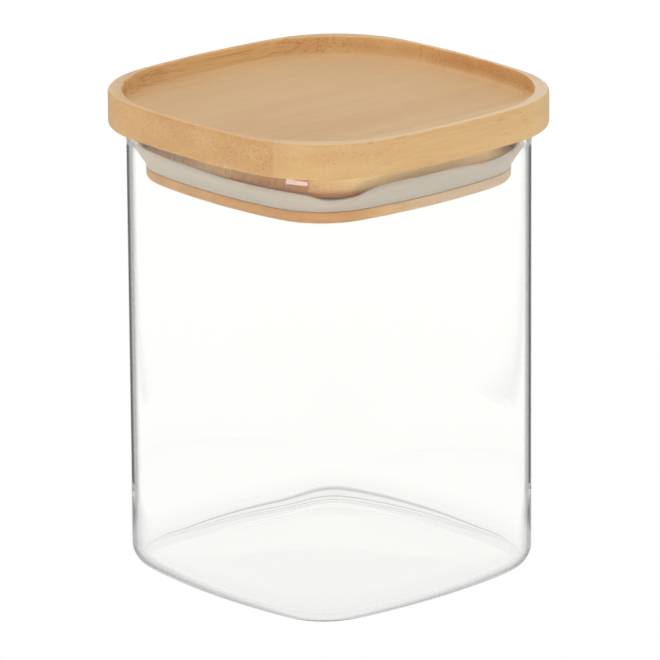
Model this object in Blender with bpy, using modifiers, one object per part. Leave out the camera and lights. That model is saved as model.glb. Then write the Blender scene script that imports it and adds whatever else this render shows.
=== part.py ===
# Storage jar: a square glass jar with a bamboo lid that another jar can stand on,
# and a silicone ring round the lid's plug.
# Metres, +Z up. The jar stands on z = 0, centred on the origin, with its lid on.

import math

import bmesh
import bpy
import numpy as np

# Driving dimensions

JAR_WIDTH = 0.0988
JAR_HEIGHT = 0.1328
JAR_CORNER_RADIUS = 0.0220
JAR_SIDE_RADIUS = 0.1900
GLASS_WALL = 0.0020

LID_OVERHANG = 0.0056
LID_CORNER_RADIUS = 0.0315
LID_SIDE_RADIUS = 0.2400
LID_THICKNESS = 0.0093

PLUG_HEIGHT = 0.0160
PLUG_GAP = 0.0038
PLUG_CORNER_RADIUS = 0.0195

# Clearances: bodies that touch in use stand this far apart

SEAT_GAP = 0.0003
CUT_OVERRUN = 0.0020

# Counts

SIDE_STEPS = 8
CORNER_STEPS = 12
FILLET_STEPS = 6

# Heights that several pieces share

LID_BOTTOM = JAR_HEIGHT + SEAT_GAP
LID_TOP = LID_BOTTOM + LID_THICKNESS
PLUG_TOP = LID_BOTTOM - SEAT_GAP
PLUG_BOTTOM = PLUG_TOP - PLUG_HEIGHT


def square_outline(half_width, corner_radius, side_radius):
    """Plan of a square with bowed sides: four wide arcs, joined smoothly by four corner arcs.

    The side arc's centre lies on the axis and the corner arc's on the diagonal, and the two
    circles touch from inside, which fixes how far out the corner's centre lies.
    """
    reach = side_radius - corner_radius
    back = side_radius - half_width
    corner_centre = (math.sqrt(2 * reach ** 2 - back ** 2) - back) / 2
    blend = math.asin(corner_centre / reach)
    side = np.linspace(-blend, blend, SIDE_STEPS + 1)
    corner = np.linspace(blend, math.pi / 2 - blend, CORNER_STEPS + 1)[1:-1]
    x = np.concatenate([half_width - side_radius + side_radius * np.cos(side),
                        corner_centre + corner_radius * np.cos(corner)])
    y = np.concatenate([side_radius * np.sin(side),
                        corner_centre + corner_radius * np.sin(corner)])
    quarters = []
    for turn in range(4):
        c = round(math.cos(turn * math.pi / 2))
        s = round(math.sin(turn * math.pi / 2))
        quarters.append(np.stack([c * x - s * y, s * x + c * y], axis=1))
    return np.concatenate(quarters)


def jar_outline(inset):
    """The glass jar's plan, moved in from its outer face by an even distance."""
    return square_outline(JAR_WIDTH / 2 - inset,
                          JAR_CORNER_RADIUS - inset,
                          JAR_SIDE_RADIUS - inset)


def lid_outline(inset):
    """The lid board's plan, moved in from its edge by an even distance."""
    return square_outline(JAR_WIDTH / 2 + LID_OVERHANG - inset,
                          LID_CORNER_RADIUS - inset,
                          LID_SIDE_RADIUS - inset)


def plug_outline(inset):
    """The plug's plan, which clears the glass by the plug gap, moved in by an even distance."""
    step = GLASS_WALL + PLUG_GAP
    return square_outline(JAR_WIDTH / 2 - step - inset,
                          PLUG_CORNER_RADIUS - inset,
                          JAR_SIDE_RADIUS - step - inset)


def corner_share():
    """For each point of an outline: 0 in the middle of a side, 1 in the middle of a corner."""
    side = np.abs(np.linspace(-1, 1, SIDE_STEPS + 1)) / 2
    corner = 1 - np.abs(np.linspace(-1, 1, CORNER_STEPS + 1))[1:-1] / 2
    quarter = np.concatenate([side, corner])
    return np.tile((1 - np.cos(math.pi * quarter)) / 2, 4)


def ring(plan, height):
    """A plan outline lifted to a height, which may be one number or one for each point."""
    z = np.zeros(len(plan)) + height
    return np.column_stack([plan, z])


def put(name, mesh, collection):
    """Wrap a mesh in a named object and link it to a collection."""
    obj = bpy.data.objects.new(name, mesh)
    collection.objects.link(obj)
    return obj


def skin(name, rings, collection, tube):
    """Loft a run of rings. A tube's last ring meets its first, otherwise the first is capped."""
    count = len(rings[0])
    bm = bmesh.new()
    rows = [[bm.verts.new(tuple(p)) for p in r] for r in rings]
    last = len(rows) if tube else len(rows) - 1
    for k in range(last):
        low = rows[k]
        high = rows[(k + 1) % len(rows)]
        for i in range(count):
            j = (i + 1) % count
            bm.faces.new((low[i], low[j], high[j], high[i]))
    if not tube:
        bm.faces.new(list(reversed(rows[0])))
    bmesh.ops.recalc_face_normals(bm, faces=bm.faces)
    mesh = bpy.data.meshes.new(name)
    bm.to_mesh(mesh)
    bm.free()
    return put(name, mesh, collection)


def extrude(name, plan, low, high, collection):
    """A flat outline filled and pushed up to a solid that stands between two heights."""
    curve = bpy.data.curves.new(name + "_sketch", "CURVE")
    curve.dimensions = "2D"
    curve.fill_mode = "BOTH"
    curve.extrude = (high - low) / 2
    spline = curve.splines.new("POLY")
    spline.points.add(len(plan) - 1)
    spline.use_cyclic_u = True
    for point, (x, y) in zip(spline.points, plan):
        point.co = (x, y, 0, 1)
    sketch = bpy.data.objects.new(name + "_sketch", curve)
    collection.objects.link(sketch)
    graph = bpy.context.evaluated_depsgraph_get()
    graph.update()
    mesh = bpy.data.meshes.new_from_object(sketch.evaluated_get(graph))
    bpy.data.objects.remove(sketch)
    bpy.data.curves.remove(curve)
    bm = bmesh.new()
    bm.from_mesh(mesh)
    bmesh.ops.remove_doubles(bm, verts=bm.verts, dist=SEAT_GAP / 10)
    bmesh.ops.translate(bm, verts=bm.verts, vec=(0, 0, (high + low) / 2))
    bmesh.ops.dissolve_limit(bm, angle_limit=math.radians(0.1), verts=bm.verts, edges=bm.edges)
    bmesh.ops.recalc_face_normals(bm, faces=bm.faces)
    bm.to_mesh(mesh)
    bm.free()
    return put(name, mesh, collection)


def round_rims(obj, heights, radius):
    """Round the edge loops that lie at the given heights."""
    weight = obj.data.attributes.new("bevel_weight_edge", "FLOAT", "EDGE")
    verts = obj.data.vertices
    for edge in obj.data.edges:
        ends = [verts[v].co.z for v in edge.vertices]
        for height in heights:
            if max(abs(z - height) for z in ends) < SEAT_GAP / 2:
                weight.data[edge.index].value = 1.0
    bevel = obj.modifiers.new("rounded_rims", "BEVEL")
    bevel.limit_method = "WEIGHT"
    bevel.width = radius
    bevel.segments = FILLET_STEPS // 2
    bevel.use_clamp_overlap = False


def round_sharp(obj, radius, segments):
    """Round every edge that is still sharp."""
    bevel = obj.modifiers.new("rounded_edges", "BEVEL")
    bevel.limit_method = "ANGLE"
    bevel.angle_limit = math.radians(60)
    bevel.width = radius
    bevel.segments = segments
    bevel.use_clamp_overlap = False


def cut(obj, cutter, name):
    """Take the cutter's shape out of a solid."""
    boolean = obj.modifiers.new(name, "BOOLEAN")
    boolean.operation = "DIFFERENCE"
    boolean.solver = "EXACT"
    boolean.object = cutter


def finish(obj, colour, roughness, clear=0.0):
    """Give a piece its own material and smooth its round faces."""
    material = bpy.data.materials.new(obj.name)
    material.use_nodes = True
    shader = material.node_tree.nodes["Principled BSDF"]
    shader.inputs["Base Color"].default_value = (*colour, 1.0)
    shader.inputs["Roughness"].default_value = roughness
    shader.inputs["Transmission Weight"].default_value = clear
    obj.data.materials.append(material)
    obj.data.shade_smooth()
    obj.data.set_sharp_from_angle(angle=math.radians(40))


def new_collection(name):
    collection = bpy.data.collections.new(name)
    bpy.context.scene.collection.children.link(collection)
    return collection


# Start from an empty scene

for old in list(bpy.data.objects):
    bpy.data.objects.remove(old)
jar_parts = new_collection("storage_jar")
cutters = new_collection("cutters")

# Glass jar: the outer face is lofted from the raised middle of the floor, over the flat foot
# ring and the rounded foot edge, up the wall. It is then given the wall's thickness inwards.

FOOT_RADIUS = 0.0070
FOOT_RING_WIDTH = 0.0045
FLOOR_RISE = 0.0015
RIM_ROUND = 0.0009

dome_shares = (0.10, 0.32, 0.54, 0.76)
foot_plan = jar_outline(FOOT_RADIUS + FOOT_RING_WIDTH)
jar_rings = []
for share in dome_shares:
    rise = FLOOR_RISE * (1 - share ** 2) ** 2
    jar_rings.append(ring(foot_plan * share, rise))
jar_rings.append(ring(foot_plan, 0))
for step in range(FILLET_STEPS + 1):
    angle = step / FILLET_STEPS * math.pi / 2
    inset = FOOT_RADIUS * (1 - math.sin(angle))
    jar_rings.append(ring(jar_outline(inset), FOOT_RADIUS * (1 - math.cos(angle))))
jar_rings.append(ring(jar_outline(0), JAR_HEIGHT))
glass_jar = skin("glass_jar", jar_rings, jar_parts, False)
wall = glass_jar.modifiers.new("wall", "SOLIDIFY")
wall.thickness = GLASS_WALL
wall.offset = -1.0
wall.use_even_offset = True
wall.use_quality_normals = True
round_sharp(glass_jar, RIM_ROUND, 3)
finish(glass_jar, (0.90, 0.93, 0.92), 0.02, 1.0)

# Lid tray: a thick board with eased edges, and a pocket in its top that leaves a raised rim.
# The pocket's floor meets its wall in a hollow round.

TRAY_RIM_WIDTH = 0.0040
TRAY_DEPTH = 0.0048
TRAY_EDGE_ROUND = 0.0012
TRAY_COVE_RADIUS = 0.0026
TRAY_MOUTH_ROUND = 0.0005

lid_tray = extrude("lid_tray", lid_outline(0), LID_BOTTOM, LID_TOP, jar_parts)
round_rims(lid_tray, (LID_BOTTOM, LID_TOP), TRAY_EDGE_ROUND)
tray_floor = LID_TOP - TRAY_DEPTH
pocket = extrude("pocket_cutter", lid_outline(TRAY_RIM_WIDTH), tray_floor,
                 LID_TOP + TRAY_COVE_RADIUS + CUT_OVERRUN, cutters)
round_sharp(pocket, TRAY_COVE_RADIUS, FILLET_STEPS - 1)
cut(lid_tray, pocket, "pocket")
round_sharp(lid_tray, TRAY_MOUTH_ROUND, 2)
finish(lid_tray, (0.66, 0.44, 0.22), 0.55)

# Lid plug: a thick board that hangs in the jar's mouth. A square groove runs round it, and
# what is left below the groove is the flange that holds the ring up.

PLUG_FLANGE_HEIGHT = 0.0034
PLUG_BOTTOM_ROUND = 0.0015
GROOVE_HEIGHT = 0.0052
GROOVE_DEPTH = 0.0030
GROOVE_EDGE_ROUND = 0.0003

groove_low = PLUG_BOTTOM + PLUG_FLANGE_HEIGHT
groove_high = groove_low + GROOVE_HEIGHT
lid_plug = extrude("lid_plug", plug_outline(0), PLUG_BOTTOM, PLUG_TOP, jar_parts)
round_rims(lid_plug, (PLUG_BOTTOM,), PLUG_BOTTOM_ROUND)
groove = extrude("groove_cutter", plug_outline(-CUT_OVERRUN), groove_low, groove_high, cutters)
groove_core = extrude("groove_core", plug_outline(GROOVE_DEPTH), groove_low - CUT_OVERRUN,
                      groove_high + CUT_OVERRUN, cutters)
cut(groove, groove_core, "core")
cut(lid_plug, groove, "groove")
round_sharp(lid_plug, GROOVE_EDGE_ROUND, 1)
finish(lid_plug, (0.60, 0.40, 0.20), 0.6)

# Seal ring: a square band in the groove, with one lip that flares up and out to the glass.
# The lip is stretched round the corners, so it lies flatter there and its tip is lower.

SEAL_BAND_WIDTH = 0.0020
SEAL_FOOT_HEIGHT = 0.0008
SEAL_LIP_THICKNESS = 0.0012
SEAL_TIP_THICKNESS = 0.0007
SEAL_TIP_FACE = 0.0020
SEAL_LIP_RISE = 0.0072
SEAL_CORNER_DROP = 0.0020

seal_low = groove_low + SEAT_GAP
seal_high = groove_high - SEAT_GAP
band_inner = plug_outline(GROOVE_DEPTH - SEAT_GAP)
band_outer = plug_outline(GROOVE_DEPTH - SEAT_GAP - SEAL_BAND_WIDTH)
lip_root = plug_outline(0)
lip_tip = jar_outline(GLASS_WALL + SEAT_GAP)
lip_back = jar_outline(GLASS_WALL + SEAT_GAP + SEAL_TIP_THICKNESS)
tip_top = seal_low + SEAL_LIP_RISE - SEAL_CORNER_DROP * corner_share()
root_low = seal_low + SEAL_FOOT_HEIGHT
root_high = root_low + SEAL_LIP_THICKNESS
bend_shares = (0.30, 0.65)
bend_power = 1.2

seal_rings = [ring(band_inner, seal_low), ring(lip_root, seal_low), ring(lip_root, root_low)]
for share in bend_shares:
    plan = lip_root + (lip_tip - lip_root) * share
    height = root_low + (tip_top - SEAL_TIP_FACE - root_low) * share ** bend_power
    seal_rings.append(ring(plan, height))
seal_rings.append(ring(lip_tip, tip_top - SEAL_TIP_FACE))
seal_rings.append(ring(lip_tip, tip_top))
seal_rings.append(ring(lip_back, tip_top))
for share in reversed(bend_shares):
    plan = lip_root + (lip_back - lip_root) * share
    height = root_high + (tip_top - SEAL_TIP_THICKNESS - root_high) * share ** bend_power
    seal_rings.append(ring(plan, height))
seal_rings.append(ring(band_outer, root_high))
seal_rings.append(ring(band_outer, seal_high))
seal_rings.append(ring(band_inner, seal_high))
seal_ring = skin("seal_ring", seal_rings, jar_parts, True)
finish(seal_ring, (0.74, 0.73, 0.71), 0.45)

for cutter in cutters.objects:
    cutter.display_type = "WIRE"
    cutter.hide_render = True
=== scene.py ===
import math

import bpy
import numpy as np
from mathutils import Matrix, Vector


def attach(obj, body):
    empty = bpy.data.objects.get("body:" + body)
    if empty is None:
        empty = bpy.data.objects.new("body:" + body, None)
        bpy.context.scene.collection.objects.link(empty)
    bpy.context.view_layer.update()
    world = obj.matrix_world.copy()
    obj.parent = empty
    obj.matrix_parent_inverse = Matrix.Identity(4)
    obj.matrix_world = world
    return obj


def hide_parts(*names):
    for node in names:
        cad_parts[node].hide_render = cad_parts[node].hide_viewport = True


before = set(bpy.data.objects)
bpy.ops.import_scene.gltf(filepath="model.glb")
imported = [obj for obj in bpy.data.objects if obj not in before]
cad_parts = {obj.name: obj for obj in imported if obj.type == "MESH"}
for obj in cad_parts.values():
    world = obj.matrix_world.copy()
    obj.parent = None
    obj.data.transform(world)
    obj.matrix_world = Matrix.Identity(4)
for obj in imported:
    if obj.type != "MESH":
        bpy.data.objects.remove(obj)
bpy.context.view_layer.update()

# glass_jar: one clear borosilicate vessel, blown square in a mould, with bowed sides and round
# corners. The wall is 2 mm, thinner in the corners, where the glass was drawn out most. The rim is
# fire polished with a low bead below it, and the floor is pushed up inside a flat foot ring.

AROUND = 320  # points round every outline
JAR_HALF = 0.0494
JAR_CORNER = 0.0199
JAR_SIDE = 0.1900
JAR_EASE = 0.0045
JAR_HEIGHT = 0.1322
GLASS_WALL = 0.0020
CORNER_THINNER = 0.0008
RIM_ROUND = 0.0009
BEAD = 0.00023
BEAD_HEIGHT = 0.1294
BEAD_REACH = 0.0014
FOOT_RADIUS = 0.0070
FOOT_RING = 0.0045
FLOOR_RISE = 0.0015
HEEL_INSET = 0.0072  # centre of the heel's inner round, from the outer face and from below
HEEL_RADIUS = 0.0054
HEEL_HEIGHT = 0.0180
HEEL_FADE = 0.0025
HEEL_FULLER = 1.3  # how much of the corners' thinning the heel takes back
OUTER_ROWS = ((0.0072, 0.1240, 12), (0.1248, 0.1310, 18))  # from, to, rows: close at the bead
INNER_ROWS = ((0.1310, 0.0300, 16), (0.0290, 0.0080, 30))  # close at the heel
DOME_ROWS = 24
DOME_MIDDLE = 0.04  # the floor's innermost and outermost rings, as shares of the foot ring's edge
DOME_EDGE = 0.98


def bowed_square(half_width, corner_radius, side_radius, ease):
    """Plan of a square whose sides bow out, as points, outward normals and corner shares.

    Told by the direction of its normal, a point near a side's middle lies on a wide arc centred
    on the axis behind it, and the rest on a small arc centred on the diagonal; the two share
    their tangent where they meet. The outline is then spaced evenly along its length and eased:
    its Fourier terms are weighted by a Gaussian, so that no change of curvature is sudden. The
    corner share is 0 in a side's middle and 1 in a corner's, with half a cosine between them,
    and is eased by the same weights.
    """
    reach = side_radius - corner_radius
    back = side_radius - half_width
    centre = (math.sqrt(2 * reach**2 - back**2) - back) / 2
    meet = math.asin(centre / reach)
    turn = np.linspace(0, 2 * np.pi, 7201)
    side = np.round(turn / (np.pi / 2)) * np.pi / 2
    lean = turn - side
    on_side = np.abs(lean) < meet
    middle = np.where(on_side, half_width - side_radius, centre * (1 + 1j * np.sign(lean)))
    radius = np.where(on_side, side_radius, corner_radius)
    outline = (middle + radius * np.exp(1j * lean)) * np.exp(1j * side)
    length = np.concatenate([[0.0], np.cumsum(np.abs(np.diff(outline)))])
    even = np.arange(AROUND) / AROUND * length[-1]
    waves = np.fft.fftfreq(AROUND, 1 / AROUND) * 2 * np.pi / length[-1]
    weights = np.exp(-((waves * ease) ** 2) / 2)
    terms = np.fft.fft(np.interp(even, length, outline)) * weights
    eased = np.fft.ifft(terms)
    along = np.fft.ifft(terms * 1j * waves)
    normal = -1j * along / np.abs(along)
    lean = np.abs((np.angle(normal) + np.pi / 4) % (np.pi / 2) - np.pi / 4)
    past = (lean - meet) / (np.pi / 4 - meet)
    share = (1 - np.cos(np.pi * np.where(lean < meet, lean / meet, 1 + past) / 2)) / 2
    share = np.fft.ifft(np.fft.fft(share) * weights).real
    plan = np.stack([eased.real, eased.imag], 1)
    return plan, np.stack([normal.real, normal.imag], 1), share


def arc(inset, height, radius, start, end, steps):
    """Profile points on a circle about (inset, height), from one angle to another in degrees.

    Angle 0 points outwards, which is towards less inset, and 90 points up.
    """
    angle = np.radians(np.linspace(start, end, steps + 1))
    return np.stack([inset - radius * np.cos(angle), height + radius * np.sin(angle)], 1)


def carried(outline, profile):
    """A profile of (inset, height) carried round an outline: each outline point is moved in
    along its normal by the inset and lifted to the height. Gives rows x around x 3."""
    plan, normal, _ = outline
    inset = profile[:, 0, None, None]
    flat = plan[None] - normal[None] * inset
    high = np.broadcast_to(profile[:, 1, None, None], flat.shape[:2] + (1,))
    return np.concatenate([flat, high], 2)


def disc(ring, shares, heights):
    """Rings that shrink towards the axis: the ring's plan times each share, at each height."""
    flat = ring[None, :, :2] * np.asarray(shares)[:, None, None]
    high = np.broadcast_to(np.asarray(heights)[:, None, None], flat.shape[:2] + (1,))
    return np.concatenate([flat, high], 2)


def skin(name, rows, tube=False):
    """A mesh over rows of rings, each ring closed on itself. A tube's last row meets its first;
    otherwise the first and last rows are fanned to a point on the axis at their own height."""
    count, around = rows.shape[:2]
    points = rows.reshape(-1, 3)
    row = np.arange(count if tube else count - 1)[:, None]
    step = np.arange(around)[None]
    low, high = row * around, (row + 1) % count * around
    turn = (step + 1) % around
    quads = np.stack([low + step, low + turn, high + turn, high + step], 2).reshape(-1, 4)
    faces = quads.tolist()
    if not tube:
        poles = np.array([[0, 0, rows[0, 0, 2]], [0, 0, rows[-1, 0, 2]]])
        first, last = len(points), len(points) + 1
        points = np.concatenate([points, poles])
        end = (count - 1) * around
        fan = np.stack([step[0], turn[0]], 1)
        faces += np.insert(fan[:, ::-1], 0, first, 1).tolist()
        faces += np.insert(fan + end, 0, last, 1).tolist()
    mesh = bpy.data.meshes.new(name)
    mesh.from_pydata(points.tolist(), [], faces)
    mesh.shade_smooth()
    piece = bpy.data.objects.new(name, mesh)
    bpy.context.scene.collection.objects.link(piece)
    return piece


jar_plan = bowed_square(JAR_HALF, JAR_CORNER, JAR_SIDE, JAR_EASE)
foot_edge = FOOT_RADIUS + FOOT_RING
floor_height = HEEL_INSET - HEEL_RADIUS
up = np.concatenate([np.linspace(*stretch) for stretch in OUTER_ROWS])
down = np.concatenate([np.linspace(*stretch) for stretch in INNER_ROWS])
bead = BEAD * np.exp(-(((up - BEAD_HEIGHT) / BEAD_REACH) ** 2))
heel = 1 / (1 + np.exp((down - HEEL_HEIGHT) / HEEL_FADE))
outside = np.concatenate(
    [
        [[foot_edge, 0.0]],
        arc(FOOT_RADIUS, FOOT_RADIUS, FOOT_RADIUS, -90, 0, 24),
        np.stack([-bead, up], 1),
        arc(RIM_ROUND, JAR_HEIGHT - RIM_ROUND, RIM_ROUND, 0, 90, 7),
    ]
)
rim_inside = arc(GLASS_WALL - RIM_ROUND, JAR_HEIGHT - RIM_ROUND, RIM_ROUND, 90, 180, 7)
wall_inside = np.stack([GLASS_WALL + (floor_height - GLASS_WALL) * heel, down], 1)
heel_inside = arc(HEEL_INSET, HEEL_INSET, HEEL_RADIUS, 0, -90, 20)
inside = np.concatenate([rim_inside, wall_inside, heel_inside, [[foot_edge, floor_height]]])
thinner = np.concatenate(
    [
        np.zeros(len(outside)),
        np.linspace(0.0, 1.0, len(rim_inside)),
        1.0 - HEEL_FULLER * heel,
        np.full(len(heel_inside) + 1, 1.0 - HEEL_FULLER),
    ]
)
wall_rows = carried(jar_plan, np.concatenate([outside, inside]))
thinned = np.outer(thinner * CORNER_THINNER, jar_plan[2])
wall_rows[:, :, :2] += thinned[:, :, None] * jar_plan[1][None]
dome = np.linspace(DOME_MIDDLE, DOME_EDGE, DOME_ROWS)
rise = FLOOR_RISE * (1 - dome**2) ** 2
under = disc(wall_rows[0], dome, rise)
over = disc(wall_rows[-1], dome[::-1], rise[::-1] + floor_height)
jar_rows = np.concatenate([under, wall_rows, over])
glass_jar = skin("glass_jar", jar_rows)

# The glass is water clear. A dark line is painted on its outer face where a thick edge
# looks dark, with a painted shade low on the foot, and fine dark lines are painted on its
# inner face round the foot in place of the arcs that refraction draws there.

GLASS_TINT = (0.998, 0.998, 0.985, 1.0)  # linear, because one hex step would be too strong

# The painted dark line on the wall and in the heel: the facing where it begins and where it is
# full, its brightness there, and how far it clears again at the very edge.
WALL_LINE = (0.565, 0.640, 0.20, 0.50)
HEEL_LINE = (0.490, 0.700, 0.15, 0.00)
LINE_CLEARS = (0.74, 0.88)
HEEL_ENDS = (0.0180, 0.0240)
PAINTED_FOOT_SHADE = (0.0020, 0.0110, 0.80, 1.0)  # heights, and the painted shade's brightness at each
LEVEL_FACES = (0.90, 0.99)  # how far up or down a face looks where it has no painted foot shade
FOOT_FADES = (0.50, 0.95, 0.0, 0.4)  # the same where the whole painted tint fades, and by how much

# The painted lines in the heel, which stand for the arcs that refraction draws there: how many,
# where the first is and how far apart they are as shares of the heel's round, and how they
# spread at two corners and gather to a point at the others.
ARC_LINES = 4
ARC_FIRST = 0.0525
ARC_PITCH = 0.2085
ARC_SHARP = 0.4  # the cosine from which a line shows
ARC_DEPTH = 0.55
ARC_MIDDLE = 45.0  # degrees up the heel's round where they gather
ARC_CROWDING = 2.3  # power by which they crowd towards the floor
ARC_SPREAD = 1.13
ARC_GATHER = 0.97
ARC_ROUND = 0.015
ARC_LEAST = 0.03
LINES_PAST_WALL, LINES_PAST_FLOOR = -9.0, 9.0  # past every line on either side
INNER_CLEAR = 0.99  # brightness of the inner face between the lines


def linear(code):
    """An sRGB hex colour as linear RGBA: each channel through the sRGB curve."""
    value = np.array([int(code[k : k + 2], 16) for k in (1, 3, 5)]) / 255
    value = np.where(value <= 0.04045, value / 12.92, ((value + 0.055) / 1.055) ** 2.4)
    return (*value.tolist(), 1.0)


def add(tree, kind, inputs=(), **settings):
    """Adds a node of any kind. Its inputs are values, or sockets or nodes to link, in order or
    by name or number; a node is linked by its first output in use. Settings are properties."""
    made = tree.nodes.new("ShaderNode" + kind)
    for key, value in settings.items():
        setattr(made, key, value)
    for key, value in inputs.items() if isinstance(inputs, dict) else enumerate(inputs):
        if isinstance(value, bpy.types.Node):
            value = next(socket for socket in value.outputs if socket.enabled)
        if isinstance(value, bpy.types.NodeSocket):
            tree.links.new(value, made.inputs[key])
        else:
            made.inputs[key].default_value = value
    return made


def material(name):
    """A new material with an empty node tree, and that tree."""
    made = bpy.data.materials.new(name)
    made.use_nodes = True
    made.node_tree.nodes.clear()
    return made, made.node_tree


def borosilicate(name, outer_face):
    """Borosilicate glass, fire polished: water clear, with sharp reflections. On the outer face
    a dark line is painted into the base colour where the eye looks along the wall, a painted
    reflection that stands for a thick edge's dark outline. It is softer and wider in the heel,
    with a painted shade low on the foot, and it fades where the foot turns level. On the inner
    face painted dark lines round the heel stand for the arcs that refraction draws there, told
    by a cosine of the attribute and shown only where the face is turned towards the eye.
    Scattered light passes the glass unchanged."""
    made, tree = material(name)
    off = add(tree, "LightPath").outputs["Diffuse Depth"]
    if outer_face:
        place = add(tree, "TexCoord").outputs
        facing = add(tree, "LayerWeight", {"Blend": 0.5}).outputs["Facing"]
        height = add(tree, "SeparateXYZ", (place["Object"],)).outputs["Z"]
        in_heel = add(tree, "MapRange", (height, *HEEL_ENDS, 1.0, 0.0))
        begins, full, darkest, clearest = (
            add(tree, "Math", (in_heel, on_heel - on_wall, on_wall), operation="MULTIPLY_ADD")
            for on_wall, on_heel in zip(WALL_LINE, HEEL_LINE)
        )
        # The painted dark edge line, darkest where the eye looks along the face.
        darkens = add(tree, "MapRange", (facing, begins, full, 1.0, darkest))
        clears = add(tree, "MapRange", (facing, *LINE_CLEARS, 0.0, clearest))
        line = add(tree, "Math", (darkens, clears), operation="ADD")
        lean = add(tree, "SeparateXYZ", (place["Normal"],)).outputs["Z"]
        level = add(tree, "Math", (lean,), operation="ABSOLUTE")
        # A painted shade low on the foot, kept off faces that lie level.
        above_foot = add(tree, "MapRange", (height, *PAINTED_FOOT_SHADE))
        on_level = add(tree, "MapRange", (level, *LEVEL_FACES, 0.0, 1.0))
        foot_shade = add(tree, "Math", (above_foot, on_level), operation="MAXIMUM")
        line = add(tree, "Math", (line, foot_shade), operation="MULTIPLY")
        on_foot = add(tree, "MapRange", (level, *FOOT_FADES))
        off = add(tree, "Math", (on_foot, off), operation="MAXIMUM")
    else:
        # Painted dark lines round the heel in place of refraction's arcs, only on faces turned
        # towards the eye.
        along = add(tree, "Attribute", attribute_name="painted_heel_lines").outputs["Fac"]
        past = add(tree, "Math", (along, ARC_FIRST), operation="SUBTRACT")
        turns = add(tree, "Math", (past, 2 * math.pi / ARC_PITCH), operation="MULTIPLY")
        wave = add(tree, "Math", (turns,), operation="COSINE")
        centre = ARC_FIRST + (ARC_LINES - 1) / 2 * ARC_PITCH
        reach = (ARC_LINES / 2 - 0.25) * ARC_PITCH
        within = add(tree, "Math", (along, centre, reach), operation="COMPARE")
        back = add(tree, "NewGeometry").outputs["Backfacing"]
        away = add(tree, "Math", (within, back), operation="SUBTRACT")
        on_front = add(tree, "MapRange", (away, 0.0, 1.0, 0.0, 1.0))
        depth = add(tree, "MapRange", (wave, ARC_SHARP, 1.0, 0.0, ARC_DEPTH))
        deep = add(tree, "Math", (depth, on_front), operation="MULTIPLY")
        line = add(tree, "Math", (INNER_CLEAR, deep), operation="SUBTRACT")
    shown = add(tree, "Mix", {0: off, 2: line, 3: 1.0}, data_type="FLOAT")
    tint = {0: 1.0, 6: shown, 7: GLASS_TINT}
    tinted = add(tree, "Mix", tint, data_type="RGBA", blend_type="MULTIPLY")
    looks = {"Base Color": tinted, "Roughness": 0.0, "IOR": 1.47, "Transmission Weight": 1.0}
    add(tree, "OutputMaterial", {"Surface": add(tree, "BsdfPrincipled", looks)})
    return made


glass_jar.data.materials.append(borosilicate("clear_borosilicate_outside", True))
glass_jar.data.materials.append(borosilicate("clear_borosilicate_inside", False))

# The attribute for the painted lines grows down the heel's round, from wall to floor. It is
# stretched so that the lines spread at the two corners on the diagonal x = y and gather to a
# point at the other two.
off_diagonal = np.abs(jar_plan[0] @ np.array([1.0, -1.0]))
off_diagonal_share = off_diagonal / off_diagonal.max()
gathered = np.sqrt((off_diagonal_share * ARC_GATHER) ** 2 + ARC_ROUND)
spread = ARC_SPREAD * (1.0 - gathered) + ARC_LEAST
heel_angle = np.linspace(0.0, 90.0, len(heel_inside))[:, None]
heel_share = ((heel_angle - ARC_MIDDLE) / spread + ARC_MIDDLE) / 90.0
heel_line_places = np.clip(heel_share, 0.0, None) ** ARC_CROWDING
heel_end = len(jar_rows) - DOME_ROWS - 1
# The painted lines' places, past them all on the wall and on the floor.
steps = np.full(jar_rows.shape[:2], LINES_PAST_FLOOR)
steps[: heel_end - len(heel_inside)] = LINES_PAST_WALL
steps[heel_end - len(heel_inside) : heel_end] = heel_line_places
values = glass_jar.data.attributes.new("painted_heel_lines", "FLOAT", "POINT")
poles = [LINES_PAST_WALL, LINES_PAST_FLOOR]
values.data.foreach_set("value", np.append(steps.ravel(), poles).astype(np.float32))
inner_rows = np.arange(len(jar_rows) - 1) >= DOME_ROWS + len(outside) - 1
inner_faces = np.repeat(np.append(inner_rows, [False, True]), AROUND)
glass_jar.data.polygons.foreach_set("material_index", inner_faces.astype(int))
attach(glass_jar, "jar")
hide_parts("glass_jar")

# lid_plug: the lower board of the lid, glued under the tray. It is milled from laminated bamboo
# with a groove round it for the seal and a flange below, and hangs inside the jar's mouth.

BOARD_EASE = 0.0022
LID_BOTTOM = 0.1325
PLUG_GAP = 0.0038
PLUG_CORNER = 0.0195
PLUG_BOTTOM = 0.1168
FLANGE_HEIGHT = 0.0034
FLANGE_ROUND = 0.0015
GROOVE_HEIGHT = 0.0043
GROOVE_DEPTH = 0.0030
GROOVE_EASE = 0.0003
GLUE_LINE = 0.00002
DISC_SHARES = np.linspace(0.1, 0.98, 12)

plug_step = GLASS_WALL + PLUG_GAP
plug_plan = bowed_square(JAR_HALF - plug_step, PLUG_CORNER, JAR_SIDE - plug_step, BOARD_EASE)
groove_low = PLUG_BOTTOM + FLANGE_HEIGHT
groove_high = groove_low + GROOVE_HEIGHT
plug_top = LID_BOTTOM - GLUE_LINE
plug_profile = np.concatenate(
    [
        arc(FLANGE_ROUND, PLUG_BOTTOM + FLANGE_ROUND, FLANGE_ROUND, -90, 0, 8),
        arc(GROOVE_EASE, groove_low - GROOVE_EASE, GROOVE_EASE, 0, 90, 4),
        [[GROOVE_DEPTH, groove_low], [GROOVE_DEPTH, groove_high]],
        arc(GROOVE_EASE, groove_high + GROOVE_EASE, GROOVE_EASE, -90, 0, 4),
        [[0.0, plug_top]],
    ]
)
plug_rows = carried(plug_plan, plug_profile)
plug_under = disc(plug_rows[0], DISC_SHARES, np.full_like(DISC_SHARES, PLUG_BOTTOM))
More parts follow.
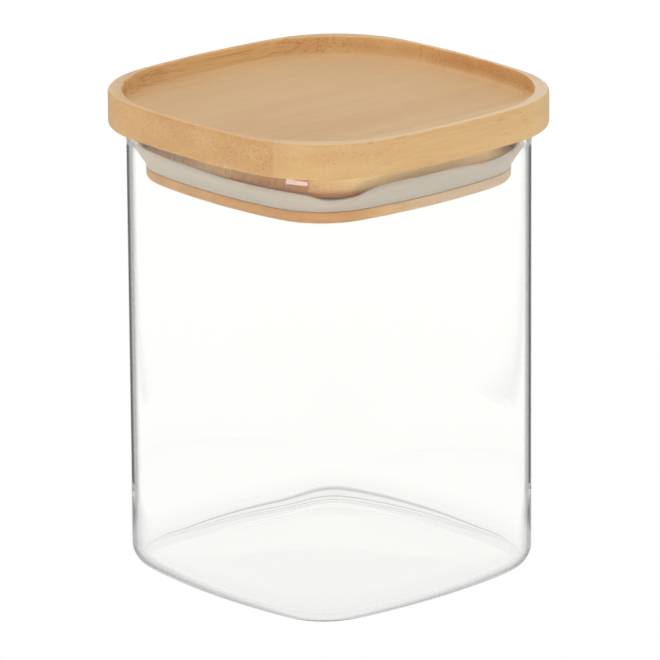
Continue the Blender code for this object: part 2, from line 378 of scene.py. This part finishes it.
plug_over = disc(plug_rows[-1], DISC_SHARES[::-1], np.full_like(DISC_SHARES, plug_top))
lid_plug = skin("lid_plug", np.concatenate([plug_under, plug_rows, plug_over]))

# Bamboo's patterns in mm: the length, width and thickness of one patch of each, and how far the
# fibres stray. Bundles are as big as life; single fibres are drawn coarser than life, to show.
LATH = 26.0
LATH_JOINT = -8.0  # along Y
WANDER = (83.33, 20.0, 20.0)
STRAY = (0.0, 2.0, 1.6)  # mm along each axis
BUNDLE = (10.0, 0.8, 2 / 3)
CROWDS = (33.33, 10.0, 4.5455)
CLOUDS = (66.67, 12.5, 6.25)
FIBRE = (50 / 3, 5 / 12, 5 / 12)
STREAK = (45.455, 1.0, 5 / 7)
GLUE = 0.008  # as a share of a lath's width: 0.2 mm

# Places on a board in mm, each from where it starts to where it is full: along X, Y or Z, from
# the left corner (-) to the right one (+) as the camera sees them, or out from the axis.
FAR_END_X = (42.0, 48.0)
REAR_LATHS_Y = (12.0, 20.0)
REAR_EDGE_Y = (30.0, 47.0)
FRONT_EDGE_Y = (-20.0, -50.0)
RIM_TOP_Z = (141.8, 142.6)
RIGHT_RIM = (-10.0, 90.0)
LEFT_RIM = (-80.0, -105.0)
RIGHT_END = (15.0, 60.0)
CORNER_REACH = (14.0, 40.0)
CORNER_SHIFT = 8.0
SIDES_OUT = (20.0, 50.0)
DENSE_FADE = 2.0  # below and above the height where bundles set in

# How far a face looks along X or Z where it counts as an end, as level, or as looking up.
END_GRAIN = (0.55, 0.95)
FLAT_GRAIN = (0.50, 1.00)
LOOKING_UP = (0.70, 0.98)
BUNDLE_DARK = "#84491d"
BUNDLE_PALE = "#f3d29a"
SHEEN_AND_WEAR_PALE = "#d6c4ae"


def bamboo(name, light, deep, dense_joint, dense_above, uneven_and_painted_light, painted_side_shade):
    """Laminated bamboo, sanded and oiled. Laths 26 mm wide are glued side by side, their fibres
    along X. The vascular bundles run the whole length, so they show as dots on the ends and as
    dashes along the sides. The laths on either side of one joint, counted from LATH_JOINT and
    less a half, come from the culm's outer wall, with dense bundles above a height. An uneven
    board varies more in tone and carries painted light and shade: it is deep below that height
    and pale above it, on the collar that the lid's overhang shades, and a painted shade makes it
    deepest near the diagonal x = y. A board with painted side shade has darker outer sides, to
    keep them dark under the strong low light. Distances in the nodes are in mm."""
    made, tree = material(name)
    smooth = {"interpolation_type": "SMOOTHSTEP"}
    place = add(tree, "TexCoord").outputs
    mm = add(tree, "Mapping", {"Vector": place["Object"], "Scale": (1000.0, 1000.0, 1000.0)})
    x, y, z = add(tree, "SeparateXYZ", (mm,)).outputs
    normal_x, _, normal_z = add(tree, "SeparateXYZ", (place["Normal"],)).outputs
    coarse = add(tree, "Mapping", {"Vector": mm, "Scale": [1 / size for size in WANDER]})
    wander = add(tree, "TexNoise", {"Vector": coarse, "Scale": 1.0, "Detail": 2.0})
    strayed = (wander.outputs["Color"], STRAY, mm)
    moved = add(tree, "VectorMath", strayed, operation="MULTIPLY_ADD")
    sized = add(tree, "Mapping", {"Vector": moved, "Scale": [1 / size for size in BUNDLE]})
    cell = add(tree, "TexVoronoi", {"Vector": sized, "Scale": 1.0}).outputs
    patterns = []
    for vector, sizes, detail in (
        (mm, CROWDS, 2.0),
        (mm, CLOUDS, 3.0),
        (moved, FIBRE, 4.0),
        (moved, STREAK, 3.0),
    ):
        sized = add(tree, "Mapping", {"Vector": vector, "Scale": [1 / size for size in sizes]})
        patterns.append(add(tree, "TexNoise", {"Vector": sized, "Scale": 1.0, "Detail": detail}))
    crowded, cloudy, fibrous, streaky = patterns

    # Places on the board: which lath, whether the face cuts the fibres or lies level, how high
    # it is, and how near the far end, the rear edge and the right or left corner.
    across = add(tree, "Math", (y, 1 / LATH, -LATH_JOINT / LATH), operation="MULTIPLY_ADD")
    lath = add(tree, "Math", (across,), operation="FLOOR")
    dense = add(tree, "Math", (lath, dense_joint, 0.6), operation="COMPARE")
    front_laths = add(tree, "Math", (lath, -1.5), operation="LESS_THAN")
    second_lath = add(tree, "Math", (lath, -1.0, 0.5), operation="COMPARE")
    cut_across = add(tree, "Math", (normal_x,), operation="ABSOLUTE")
    end = add(tree, "MapRange", (cut_across, *END_GRAIN, 0.0, 1.0), **smooth)
    level = add(tree, "Math", (normal_z,), operation="ABSOLUTE")
    flat = add(tree, "MapRange", (level, *FLAT_GRAIN, 1.0, 0.25), **smooth)
    band = (dense_above - DENSE_FADE, dense_above + DENSE_FADE)
    high = add(tree, "MapRange", (z, *band, 0.25, 1.0), **smooth)
    far = add(tree, "MapRange", (x, *FAR_END_X, 0.0, 1.0), **smooth)
    near_laths = add(tree, "MapRange", (y, *REAR_LATHS_Y, 1.0, 0.0), **smooth)
    rear = add(tree, "MapRange", (y, *REAR_EDGE_Y, 0.10, 1.0), **smooth)
    sideways = add(tree, "Math", (x, y), operation="SUBTRACT")

    # Bundles: cells 0.8 mm across and 10 mm long, each with a dark core of its own size. A cell
    # shows where its own random share is below the crowding there, and else is a pale dot.
    dice = add(tree, "SeparateColor", (cell["Color"],)).outputs
    core = add(tree, "Math", (dice[0], 0.14, 0.16), operation="MULTIPLY_ADD")
    from_core = add(tree, "Math", (cell["Distance"], core), operation="SUBTRACT")
    dot = add(tree, "MapRange", (from_core, -0.10, 0.14, 1.0, 0.0), **smooth)
    patch = add(tree, "MapRange", (crowded, 0.35, 0.60, 0.45, 1.0), **smooth)
    crowd = add(tree, "Math", (dense, 0.9, 0.35), operation="MULTIPLY_ADD")
    crowd = add(tree, "Math", (crowd, patch), operation="MULTIPLY")
    crowd = add(tree, "Math", (crowd, high), operation="MULTIPLY")
    far_crowd = add(tree, "Math", (near_laths, 0.90, 0.05), operation="MULTIPLY_ADD")
    crowd = add(tree, "Mix", {0: far, 2: crowd, 3: far_crowd}, data_type="FLOAT")
    over_crowd = add(tree, "Math", (dice[1], crowd), operation="SUBTRACT")
    chosen = add(tree, "MapRange", (over_crowd, -0.05, 0.05, 1.0, 0.0), **smooth)
    bundle = add(tree, "Math", (dot, chosen), operation="MULTIPLY")
    bundle = add(tree, "Math", (bundle, flat), operation="MULTIPLY")
    other = add(tree, "Math", (dot, bundle), operation="SUBTRACT")
    crowded_end = add(tree, "Math", (crowd, end), operation="MULTIPLY")
    pale = add(tree, "Math", (other, crowded_end), operation="MULTIPLY")

    # Ground tissue, between the light and the deep colour: a tone for each lath, broad clouds,
    # fine fibres, deeper ends, a thin dark glue line between laths, and long brown streaks in the
    # laths of the rear edge. On an uneven board painted light and shade make it deeper below the
    # bundles' height, paler above it and deeper near the diagonal x = y. Each part is added with
    # its weight.
    lath_tone = add(tree, "TexWhiteNoise", {"W": lath}, noise_dimensions="1D")
    cloud = add(tree, "MapRange", (cloudy, 0.3, 0.7, 0.05, 0.30), **smooth)
    fibre = add(tree, "MapRange", (fibrous, 0.3, 0.75, 0.0, 0.22), **smooth)
    near_end = add(tree, "Math", (near_laths, end), operation="MULTIPLY")
    far_end = add(tree, "Math", (far, near_end), operation="MULTIPLY")
    from_joint = add(tree, "Math", (across, 0.5), operation="PINGPONG")
    glue = add(tree, "MapRange", (from_joint, 0.0, GLUE, 0.20, 0.0), **smooth)
    # Painted light and shade: deeper below the bundles' height, paler on the collar above it.
    below = add(tree, "Math", (0.75, high), operation="SUBTRACT")
    streak = add(tree, "MapRange", (streaky, 0.50, 0.68, 0.0, 1.0), **smooth)
    rear_edge = add(tree, "Math", (rear, flat), operation="MULTIPLY")
    rear_streak = add(tree, "Math", (streak, rear_edge), operation="MULTIPLY")
    # Painted shade near the diagonal x = y, at the front corner, leaving the ends lighter.
    off_corner = add(tree, "Math", (sideways, CORNER_SHIFT), operation="ADD")
    off_corner = add(tree, "Math", (off_corner,), operation="ABSOLUTE")
    corner = add(tree, "MapRange", (off_corner, *CORNER_REACH, 0.5 * uneven_and_painted_light, 0.0), **smooth)
    dark = add(tree, "Math", (lath_tone, 0.12), operation="MULTIPLY")
    for part, weight in (
        (front_laths, -0.16),
        (second_lath, 0.25 * uneven_and_painted_light + 0.08),
        (cloud, 1.0),
        (fibre, 1.0),
        (end, 0.10),
        (far_end, 0.22),
        (glue, 1.0),
        (below, uneven_and_painted_light),
        (rear_streak, 0.5),
        (corner, 1.0),
    ):
        dark = add(tree, "Math", (part, weight, dark), operation="MULTIPLY_ADD")
    tones = {0: dark, 6: linear(light), 7: linear(deep)}
    ground = add(tree, "Mix", tones, data_type="RGBA")
    pale_share = add(tree, "Math", (pale, 0.45), operation="MULTIPLY")
    tones = {0: pale_share, 6: ground, 7: linear(BUNDLE_PALE)}
    dotted = add(tree, "Mix", tones, data_type="RGBA")

    # Faces that look up are mixed towards a pale grey, a painted sheen of the white room together
    # with oil worn off, most on the rim's top at its right and left corners and towards the front.
    # An uneven board's right end, below its bundles, is mixed the same way as painted light.
    right_rim = add(tree, "MapRange", (sideways, *RIGHT_RIM, 0.0, 0.32), **smooth)
    left_rim = add(tree, "MapRange", (sideways, *LEFT_RIM, 0.0, 0.50), **smooth)
    rim = add(tree, "Math", (0.06, right_rim), operation="ADD")
    rim = add(tree, "Math", (rim, left_rim), operation="ADD")
    on_rim = add(tree, "MapRange", (z, *RIM_TOP_Z, 0.0, 1.0), **smooth)
    front = add(tree, "MapRange", (y, *FRONT_EDGE_Y, 0.0, 0.14), **smooth)
    facing_up = add(tree, "MapRange", (normal_z, *LOOKING_UP, 0.0, 1.0), **smooth)
    lower = add(tree, "Math", (1.0, high), operation="SUBTRACT")
    right = add(tree, "MapRange", (sideways, *RIGHT_END, 0.0, 0.7), **smooth)
    lower_right = add(tree, "Math", (lower, right), operation="MULTIPLY")
    # Painted sheen with worn oil on faces that look up, and painted light on an uneven board's
    # lower right end.
    sheen_and_wear = add(tree, "Math", (on_rim, rim, 0.20), operation="MULTIPLY_ADD")
    sheen_and_wear = add(tree, "Math", (sheen_and_wear, front), operation="ADD")
    sheen_and_wear = add(tree, "Math", (sheen_and_wear, facing_up), operation="MULTIPLY")
    sheen_and_wear = add(tree, "Math", (lower_right, uneven_and_painted_light, sheen_and_wear), operation="MULTIPLY_ADD")
    tones = {0: sheen_and_wear, 6: dotted, 7: linear(SHEEN_AND_WEAR_PALE)}
    sheened_and_worn = add(tree, "Mix", tones, data_type="RGBA")

    # Dark bundles lie over all that, stronger on the ends. The outer sides, told by how far along
    # its normal a point lies from the axis, are then mixed with black: a painted side shade that
    # keeps them dark under the strong low light.
    strength = (end, 0.15 + 0.25 * uneven_and_painted_light, 0.35 - 0.25 * uneven_and_painted_light)
    strength = add(tree, "Math", strength, operation="MULTIPLY_ADD")
    strength = add(tree, "Math", (far, 0.20, strength), operation="MULTIPLY_ADD")
    strength = add(tree, "Math", (bundle, strength), operation="MULTIPLY")
    tones = {0: strength, 6: sheened_and_worn, 7: linear(BUNDLE_DARK)}
    bundled = add(tree, "Mix", tones, data_type="RGBA")
    plan = add(tree, "Mapping", {"Vector": mm, "Scale": (1.0, 1.0, 0.0)})
    outward = add(tree, "VectorMath", (plan, place["Normal"]), operation="DOT_PRODUCT")
    sides = add(tree, "MapRange", (outward, *SIDES_OUT, 0.0, painted_side_shade), **smooth)
    tones = {0: sides, 6: bundled, 7: linear("#000000")}
    shaded = add(tree, "Mix", tones, data_type="RGBA")
    relief = add(tree, "Math", (bundle, -0.6, fibrous), operation="MULTIPLY_ADD")
    grain = add(tree, "Bump", {"Strength": 0.2, "Distance": 0.0001, "Height": relief})
    looks = {"Base Color": shaded, "Roughness": 0.52, "IOR": 1.47, "Normal": grain}
    add(tree, "OutputMaterial", {"Surface": add(tree, "BsdfPrincipled", looks)})
    return made


# The plug's colours are far paler than the tray's: painted light on the collar in the lid's shade.
# Its uneven share, 1.10, adds more painted light and shade.
lid_plug.data.materials.append(
    bamboo("oiled_laminated_bamboo_plug", "#ffde9e", "#cf944c", -1.5, 126.0, 1.10, 0.0)
)
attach(lid_plug, "lid")
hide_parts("lid_plug")

# seal_ring: one moulded ring of milky translucent silicone, stretched into the plug's groove.
# Its lip flares up and out to the glass. It lies lower at the front corner and rides up at the
# two side corners, where the glass dragged it as the lid was pushed in.

SEAL_CLEAR = 0.0003
SEAL_BAND = 0.0020
SEAL_FOOT = 0.0008
LIP_THICK = 0.0012
LIP_RISE = 0.0076
LIP_WAVES = (  # depth, place along the lip from the front corner, and reach of each wave
    (0.0011, -0.0200, 0.0220),
    (0.0027, 0.0065, 0.0080),
    (0.0010, 0.0600, 0.0075),
    (-0.0028, -0.0830, 0.0078),
    (-0.0028, 0.0835, 0.0076),
)
LIP_BEND = 1.2
LIP_SHARES = (0.15, 0.3, 0.45, 0.6, 0.8)
TIP_THICK = 0.0007
TIP_FACE = 0.0020
TIP_EASE = 0.0002
FRONT_CORNER = AROUND * 5 // 8  # an outline starts at +X and turns towards +Y

seal_low = groove_low + SEAL_CLEAR
seal_high = groove_high - SEAL_CLEAR
root_low = seal_low + SEAL_FOOT
root_high = root_low + LIP_THICK


def inset_plan(outline, inset):
    """The plan of an outline moved in along its normals by an inset."""
    return outline[0] - outline[1] * inset


def lifted(plan, height):
    """A ring: a plan lifted to a height, which may differ from point to point."""
    return np.concatenate([plan, np.broadcast_to(height, (len(plan),))[:, None]], 1)


def bent(tip, low, high, shares):
    """Rings of the lip from its root to its tip: the plan goes over from the one to the other
    by each share, and the height by a power of it, so that the lip bends up."""
    plans = [lip_root + (tip - lip_root) * share for share in shares]
    heights = [low + (high - low) * share**LIP_BEND for share in shares]
    return [lifted(plan, height) for plan, height in zip(plans, heights)]


band_inner = inset_plan(plug_plan, GROOVE_DEPTH - SEAL_CLEAR)
band_outer = inset_plan(plug_plan, GROOVE_DEPTH - SEAL_CLEAR - SEAL_BAND)
lip_root = inset_plan(plug_plan, 0.0)
lip_tip = inset_plan(jar_plan, GLASS_WALL + SEAL_CLEAR)
lip_back = inset_plan(jar_plan, GLASS_WALL + SEAL_CLEAR + TIP_THICK)
gaps = np.linalg.norm(np.roll(lip_tip, -1, 0) - lip_tip, axis=1)
along = np.concatenate([[0.0], np.cumsum(gaps)[:-1]])
along = along - along[FRONT_CORNER]
along = (along + gaps.sum() / 2) % gaps.sum() - gaps.sum() / 2
tip_top = np.full(AROUND, seal_low + LIP_RISE)
for depth, at, reach in LIP_WAVES:
    tip_top -= depth / (1 + ((along - at) / reach) ** 4)
seal_rings = [
    lifted(band_inner, seal_low),
    lifted(lip_root, seal_low),
    lifted(lip_root, root_low),
    *bent(lip_tip, root_low, tip_top - TIP_FACE, LIP_SHARES),
    lifted(lip_tip, tip_top - TIP_FACE),
    lifted(lip_tip, tip_top - TIP_EASE),
    *(lifted(lip_tip + (lip_back - lip_tip) * share, tip_top) for share in (0.3, 0.7)),
    lifted(lip_back, tip_top - TIP_EASE),
    *bent(lip_back, root_high, tip_top - TIP_THICK, LIP_SHARES[::-1]),
    lifted(band_outer, root_high),
    lifted(band_outer, seal_high),
    lifted(band_inner, seal_high),
]
seal_ring = skin("seal_ring", np.stack(seal_rings), tube=True)

# Silicone rubber from a matt mould: milky, with soft-edged highlights, and a little light comes
# through the thin lip.
silicone, tree = material("milky_silicone_rubber")
looks = {
    "Base Color": linear("#d1c5b4"),
    "Roughness": 0.5,
    "IOR": 1.41,
    "Subsurface Weight": 0.6,
    "Subsurface Radius": (0.0012, 0.0011, 0.0010),
    "Subsurface Scale": 1.0,
}
add(tree, "OutputMaterial", {"Surface": add(tree, "BsdfPrincipled", looks)})
seal_ring.data.materials.append(silicone)
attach(seal_ring, "lid")
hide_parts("seal_ring")

# lid_tray: the upper board of the lid, of laminated bamboo. It overhangs the glass all round and
# its edges are eased. Its top is milled out to a tray with a rim that is 2 mm wide along the
# sides and 4 mm in the corners, and a hollow round at the rim's foot.

TRAY_HALF = 0.0550
TRAY_CORNER = 0.0315
TRAY_SIDE = 0.2400
TRAY_TOP = 0.1430
TRAY_DEPTH = 0.0054
EDGE_ROUND = 0.0012
MOUTH_HALF = 0.0530
MOUTH_CORNER = 0.0365
MOUTH_SIDE = 0.2380
MOUTH_ROUND = 0.0005
COVE = 0.0026

tray_plan = bowed_square(TRAY_HALF, TRAY_CORNER, TRAY_SIDE, BOARD_EASE)
mouth_plan = bowed_square(MOUTH_HALF, MOUTH_CORNER, MOUTH_SIDE, BOARD_EASE)
tray_floor = TRAY_TOP - TRAY_DEPTH
edge_profile = np.concatenate(
    [
        arc(EDGE_ROUND, LID_BOTTOM + EDGE_ROUND, EDGE_ROUND, -90, 0, 8),
        arc(EDGE_ROUND, TRAY_TOP - EDGE_ROUND, EDGE_ROUND, 0, 90, 8),
    ]
)
mouth_profile = np.concatenate(
    [
        arc(-MOUTH_ROUND, TRAY_TOP - MOUTH_ROUND, MOUTH_ROUND, 90, 180, 6),
        arc(COVE, tray_floor + COVE, COVE, 0, -90, 10),
    ]
)
tray_rows = np.concatenate([carried(tray_plan, edge_profile), carried(mouth_plan, mouth_profile)])
tray_under = disc(tray_rows[0], DISC_SHARES, np.full_like(DISC_SHARES, LID_BOTTOM))
tray_over = disc(tray_rows[-1], DISC_SHARES[::-1], np.full_like(DISC_SHARES, tray_floor))
lid_tray = skin("lid_tray", np.concatenate([tray_under, tray_rows, tray_over]))
# The tray's last value, 0.20, paints a shade on its outer sides.
lid_tray.data.materials.append(
    bamboo("oiled_laminated_bamboo_tray", "#cea970", "#b27a42", -0.5, 137.5, 0.0, 0.20)
)
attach(lid_tray, "lid")
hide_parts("lid_tray")

# The table is a sheet of white acrylic lit from below, 0.2 mm under the jar's foot. It burns out
# to white like the room, is a little dimmer under the jar, where a painted shadow lies, and
# lights matt things more strongly than the eye sees it.

TABLE_HALF = 4.0
TABLE_GAP = 0.0002
TABLE_SEEN = 1.0
TABLE_BEYOND = 1.02
TABLE_SHADE = 0.015
TABLE_LIGHT = 1.30
SHADE_REACH = (0.028, 0.046)
BEYOND_REACH = (0.12, 0.32)

corners = np.array([[-1, -1], [1, -1], [1, 1], [-1, 1]]) * TABLE_HALF
corners = np.insert(corners, 2, -TABLE_GAP, 1)
table = bpy.data.meshes.new("table")
table.from_pydata(corners.tolist(), [], [(0, 1, 2, 3)])
table_top = bpy.data.objects.new("table", table)
bpy.context.scene.collection.objects.link(table_top)
acrylic, tree = material("backlit_white_acrylic")
place = add(tree, "TexCoord").outputs["Object"]
away = add(tree, "VectorMath", (place,), operation="LENGTH")
# A painted shadow under the jar: the table glows a little less there.
shade = add(tree, "MapRange", (away, *SHADE_REACH, TABLE_SHADE, 0.0))
beyond = add(tree, "MapRange", (away, *BEYOND_REACH, TABLE_SEEN, TABLE_BEYOND))
seen = add(tree, "Math", (beyond, shade), operation="SUBTRACT")
scattered = add(tree, "LightPath").outputs["Diffuse Depth"]
level = add(tree, "Mix", {0: scattered, 2: seen, 3: TABLE_LIGHT}, data_type="FLOAT")
glow = add(tree, "Emission", {"Color": linear("#ffffff"), "Strength": level})
add(tree, "OutputMaterial", {"Surface": glow})
table_top.data.materials.append(acrylic)

# Two grey cards lie on the table behind the jar, one at each side out of the picture. Only the
# glass shows them: its thick edges bend the view that way, which draws the jar's dark outline.
# Each is a fan of ribs, fading to white at both ends of the fan.

CARD_TURN = math.radians(48.1)
CARD_APEX = 0.0606
CARD_NEAR = 0.068
CARD_FAR = 0.60
CARD_FIRST = 10.0
CARD_LAST = 44.0
CARD_FULL = (21.0, 28.0)  # degrees between which it is fully grey
CARD_GREY = 0.15
CARD_RIBS = 19

across = np.linspace(CARD_FIRST, CARD_LAST, CARD_RIBS)
turns = np.radians(across)
ribs = np.stack([np.cos(turns), np.sin(turns)], 1) * np.array([CARD_NEAR, CARD_FAR])[:, None, None]
spots = np.stack([(ribs + (0.0, CARD_APEX)) * (1.0, side) for side in (-1.0, 1.0)])
cosine, sine = math.cos(CARD_TURN), math.sin(CARD_TURN)
spots = (spots @ np.array([[cosine, sine], [-sine, cosine]])).reshape(-1, 2)
spots = np.insert(spots, 2, -TABLE_GAP / 2, 1)
rib = (np.arange(2)[:, None] * 2 * CARD_RIBS + np.arange(CARD_RIBS - 1)).ravel()
fans = np.stack([rib, rib + CARD_RIBS, rib + CARD_RIBS + 1, rib + 1], 1)
card_mesh = bpy.data.meshes.new("grey_cards")
card_mesh.from_pydata(spots.tolist(), [], fans.tolist())
degrees = card_mesh.attributes.new("across", "FLOAT", "POINT")
degrees.data.foreach_set("value", np.tile(across, 4).astype(np.float32))
cards = bpy.data.objects.new("grey_cards", card_mesh)
bpy.context.scene.collection.objects.link(cards)
card_paper, tree = material("grey_card_paper")
place = add(tree, "Attribute", attribute_name="across").outputs["Fac"]
fades = [
    add(tree, "MapRange", (place, *fade, 1.0, CARD_GREY), interpolation_type="SMOOTHSTEP")
    for fade in ((CARD_FIRST, CARD_FULL[0]), (CARD_LAST, CARD_FULL[1]))
]
level = add(tree, "Math", fades, operation="MAXIMUM")
glow = add(tree, "Emission", {"Color": linear("#ffffff"), "Strength": level})
add(tree, "OutputMaterial", {"Surface": glow})
card_mesh.materials.append(card_paper)
cards.visible_camera = False
cards.visible_diffuse = False

# A soft box stands to the left of the camera. It is seen only as the small bright reflection on
# the bead under the rim, so it lights nothing else: only sharp rays find it.

BOX_TURN = math.radians(191.5)
BOX_AWAY = 0.60
BOX_HALF = 0.172
BOX_FOOT = 0.064
BOX_TOP = 0.147
BOX_LIGHT = 13.0

towards = Vector((math.cos(BOX_TURN), math.sin(BOX_TURN), 0.0))
aside = Vector((-math.sin(BOX_TURN), math.cos(BOX_TURN), 0.0))
ends = [towards * BOX_AWAY + aside * BOX_HALF * side for side in (-1, 1)]
feet = [end + Vector((0.0, 0.0, BOX_FOOT)) for end in ends]
tops = [end + Vector((0.0, 0.0, BOX_TOP)) for end in ends]
front = bpy.data.meshes.new("soft_box")
front.from_pydata([*feet, *reversed(tops)], [], [(0, 1, 2, 3)])
soft_box = bpy.data.objects.new("soft_box", front)
bpy.context.scene.collection.objects.link(soft_box)
fabric, tree = material("lit_soft_box_fabric")
sharp = add(tree, "LightPath").outputs["Is Singular Ray"]
bright = add(tree, "Math", (sharp, BOX_LIGHT), operation="MULTIPLY")
glow = add(tree, "Emission", {"Color": linear("#f2ecff"), "Strength": bright})
add(tree, "OutputMaterial", {"Surface": glow})
front.materials.append(fabric)
soft_box.visible_camera = False
soft_box.visible_diffuse = False
soft_box.visible_transmission = False

# The room is white walls that dim upwards, as the eye and the glass see them. Its matt light
# comes from a low band of windows and from lamps overhead, both a little stronger on one side.

WALLS = (0.1, 0.5, 1.08, 0.60)  # from and to, as heights of the view's direction, and levels
BAND = (0.04, 0.26, 5.0, 0.0)
BAND_SIDE = (-0.27, -0.17, 0.0)
LAMPS = (0.62, 0.88, 0.1, 2.25)
LAMPS_SIDE = (-0.24, 0.09, 0.0)

room = bpy.data.worlds.new("white_room")
bpy.context.scene.world = room
room.use_nodes = True
tree = room.node_tree
tree.nodes.clear()
aim = add(tree, "TexCoord").outputs["Generated"]
height = add(tree, "SeparateXYZ", (aim,)).outputs["Z"]
band = add(tree, "MapRange", (height, *BAND), interpolation_type="SMOOTHSTEP")
lamps = add(tree, "MapRange", (height, *LAMPS))
lights = []
for source, side in ((band, BAND_SIDE), (lamps, LAMPS_SIDE)):
    lean = add(tree, "VectorMath", (aim, side), operation="DOT_PRODUCT")
    lights.append(add(tree, "Math", (source, lean, source), operation="MULTIPLY_ADD"))
lit = add(tree, "Math", lights, operation="ADD")
walls = add(tree, "MapRange", (height, *WALLS))
scattered = add(tree, "LightPath").outputs["Diffuse Depth"]
strength = add(tree, "Mix", {0: scattered, 2: walls, 3: lit}, data_type="FLOAT")
light = add(tree, "Background", {"Color": linear("#ffffff"), "Strength": strength})
add(tree, "OutputWorld", {"Surface": light})

# The camera stands off the corner between the jar's -X and -Y sides and looks a little down on
# the lid, through a long lens.

LOOK_AT = Vector((0.0, 0.0, 0.1424))
ACROSS = 0.0000185  # the picture's centre, left of that point and below it
DROP = 0.068653
VIEW_TURN = math.radians(41.9)
VIEW_DIP = math.radians(16.67)
VIEW_ROLL = math.radians(-0.43)
DISTANCE = 1.9771
LENS = 378.6  # in mm, as is the sensor
SENSOR = 36.0

ahead = Vector(
    (
        math.sin(VIEW_TURN) * math.cos(VIEW_DIP),
        math.cos(VIEW_TURN) * math.cos(VIEW_DIP),
        -math.sin(VIEW_DIP),
    )
)
right = Vector((math.cos(VIEW_TURN), -math.sin(VIEW_TURN), 0.0))
up = right.cross(ahead)
camera_data = bpy.data.cameras.new("camera")
camera_data.lens = LENS
camera_data.sensor_width = SENSOR
camera_data.clip_start = 0.1
camera_data.clip_end = 20.0
camera = bpy.data.objects.new("camera", camera_data)
bpy.context.scene.collection.objects.link(camera)
camera_right = right * math.cos(VIEW_ROLL) + up * math.sin(VIEW_ROLL)
camera_up = up * math.cos(VIEW_ROLL) - right * math.sin(VIEW_ROLL)
turned = Matrix((camera_right, camera_up, -ahead)).transposed().to_4x4()
turned.translation = LOOK_AT - right * ACROSS - up * DROP - ahead * DISTANCE
camera.matrix_world = turned
bpy.context.scene.camera = camera
bpy.context.scene.view_settings.view_transform = "Standard"
